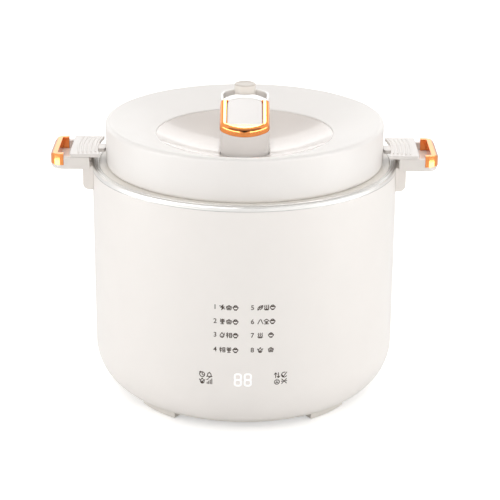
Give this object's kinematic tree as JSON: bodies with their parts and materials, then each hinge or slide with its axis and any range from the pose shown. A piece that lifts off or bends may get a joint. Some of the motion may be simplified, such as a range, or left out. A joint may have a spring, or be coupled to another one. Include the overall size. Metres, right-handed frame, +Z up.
{
  "type": "electric pressure cooker",
  "caption": "Round countertop cooker with a lift-out pot, latched lift-off lid, sliding latch handles and a knob whose pad lifts the steam valve.",
  "frame": {"origin": "on the table under the centre of the body, at the bottoms of the feet", "axes": "+Z up, -Y towards the front with the display, +X towards the handle on the right seen from the front"},
  "size_m": [0.3022, 0.24, 0.2436],
  "materials": {
    "shell_ivory": "satin",
    "base_ivory": "matt",
    "foot_rubber": "matt",
    "screw_steel": "zinc plated",
    "rim_silver": "fine brushed",
    "collar_ivory": "satin",
    "liner_steel": "pressed sheet",
    "plate_aluminium": "cast and turned",
    "tube_steel": "satin",
    "bracket_steel": "pressed sheet",
    "sensor_aluminium": "satin",
    "spring_steel": "bright",
    "fuse_ceramic": "matt",
    "board_green": "satin",
    "board_black": "satin",
    "holder_ivory": "matt",
    "inlet_black": "matt",
    "pin_brass": "satin",
    "handle_ivory": "satin",
    "rose_gold": "polished",
    "latch_ivory": "satin",
    "pot_coating": "non-stick coating",
    "lid_ivory": "gloss",
    "dish_ivory": "high gloss",
    "frame_ivory": "matt",
    "inner_steel": "polished",
    "seal_silicone": "matt",
    "plinth_ivory": "satin",
    "knob_ivory": "gloss",
    "lever_steel": "satin",
    "valve_beige": "satin"
  },
  "bodies": {
    "housing": {"outer_shell": "shell_ivory", "base_cover": "base_ivory", "feet": "foot_rubber", "base_screws": "screw_steel", "rim_ring": "rim_silver", "collar": "collar_ivory", "liner": "liner_steel", "heating_plate": "plate_aluminium", "heating_tube": "tube_steel", "sensor_bracket": "bracket_steel", "sensor_spring": "spring_steel", "thermal_fuse": "fuse_ceramic", "liner_posts": "bracket_steel", "power_board": "board_green", "board_parts": "board_black", "display_board": "board_green", "display_module": "board_black", "display_holder": "holder_ivory", "touch_pads": "board_black", "power_inlet": "inlet_black", "inlet_pins": "pin_brass", "handle_right": "handle_ivory", "handle_left": "handle_ivory", "end_cap_right": "rose_gold", "end_cap_left": "rose_gold", "handle_screws": "screw_steel"},
    "sensor": {"sensor_cap": "sensor_aluminium", "sensor_clip": "screw_steel"},
    "latch_right": {"thumb_plate_right": "latch_ivory", "bolt_right": "latch_ivory"},
    "latch_left": {"thumb_plate_left": "latch_ivory", "bolt_left": "latch_ivory"},
    "pot": {"inner_pot": "pot_coating"},
    "lid": {"lid_cover": "lid_ivory", "dish_panel": "dish_ivory", "lid_frame": "frame_ivory", "lid_keepers": "screw_steel", "inner_plate": "inner_steel", "seal_ring": "seal_silicone", "plate_grommet": "seal_silicone", "lid_screws": "screw_steel", "knob_plinth": "plinth_ivory", "knob_body": "knob_ivory", "knob_trim": "rose_gold", "lever_pin": "screw_steel", "steam_pipe": "inner_steel", "steam_filter": "inner_steel", "pad_spring": "spring_steel"},
    "pad": {"knob_pad": "knob_ivory", "pad_clip": "screw_steel"},
    "lever": {"release_lever": "lever_steel"},
    "valve": {"valve_cap": "valve_beige"},
    "float": {"float_pin": "lever_steel", "float_gasket": "seal_silicone"}
  },
  "joints": [
    {"name": "lid_lift", "type": "slide", "parent": "housing", "child": "lid", "axis": [0, 0, 1], "range_m": [0, 0.32]},
    {"name": "pot_lift", "type": "slide", "parent": "housing", "child": "pot", "axis": [0, 0, 1], "range_m": [0, 0.16]},
    {"name": "sensor_press", "type": "slide", "parent": "housing", "child": "sensor", "axis": [0, 0, -1], "range_m": [0, 0.0025], "stiffness_N_per_m": 800, "springref_m": -0.003, "deforming": ["sensor_spring"]},
    {"name": "latch_right_slide", "type": "slide", "parent": "housing", "child": "latch_right", "axis": [1, 0, 0], "range_m": [-0.0045, 0.004]},
    {"name": "latch_left_slide", "type": "slide", "parent": "housing", "child": "latch_left", "axis": [-1, 0, 0], "range_m": [-0.0045, 0.004]},
    {"name": "pad_press", "type": "slide", "parent": "lid", "child": "pad", "axis": [0, 0, -1], "range_m": [0, 0.0025], "stiffness_N_per_m": 600, "springref_m": -0.003, "deforming": ["pad_spring"]},
    {"name": "lever_tilt", "type": "hinge", "parent": "lid", "child": "lever", "pos_m": [0, 0.014, 0.21069], "axis": [1, 0, 0], "range_deg": [0, 9]},
    {"name": "valve_lift", "type": "slide", "parent": "lid", "child": "valve", "axis": [0, 0, 1], "range_m": [0, 0.0025]},
    {"name": "float_rise", "type": "slide", "parent": "lid", "child": "float", "axis": [0, 0, 1], "range_m": [0, 0.004]}
  ],
  "couplings": [
    {"joint": "pot_lift", "follows": "lid_lift", "ratio": 0.5},
    {"joint": "lever_tilt", "follows": "pad_press", "rad_per_m": 62.5},
    {"joint": "valve_lift", "follows": "pad_press", "ratio": 1}
  ]
}
